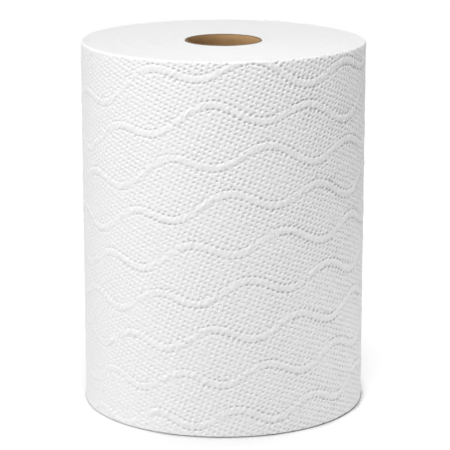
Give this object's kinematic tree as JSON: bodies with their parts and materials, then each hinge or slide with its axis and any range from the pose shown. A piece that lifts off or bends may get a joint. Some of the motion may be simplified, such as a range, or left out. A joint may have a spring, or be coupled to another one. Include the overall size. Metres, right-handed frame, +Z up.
{
  "type": "paper towel roll",
  "caption": "Wound roll of white paper towel embossed with dotted wave bands, on an open brown cardboard tube, standing on its square-cut end.",
  "frame": {"origin": "centre of the lower end of the core tube's bore, in the plane that the roll stands on", "axes": "+Z up the axis of the roll; -Y towards the front, the side away from the tail edge"},
  "size_m": [0.1608, 0.1607, 0.208],
  "materials": {
    "paper": "matte, embossed",
    "cardboard": "matte"
  },
  "bodies": {
    "root": {"towel_roll": "paper", "core_tube": "cardboard"}
  },
  "joints": []
}
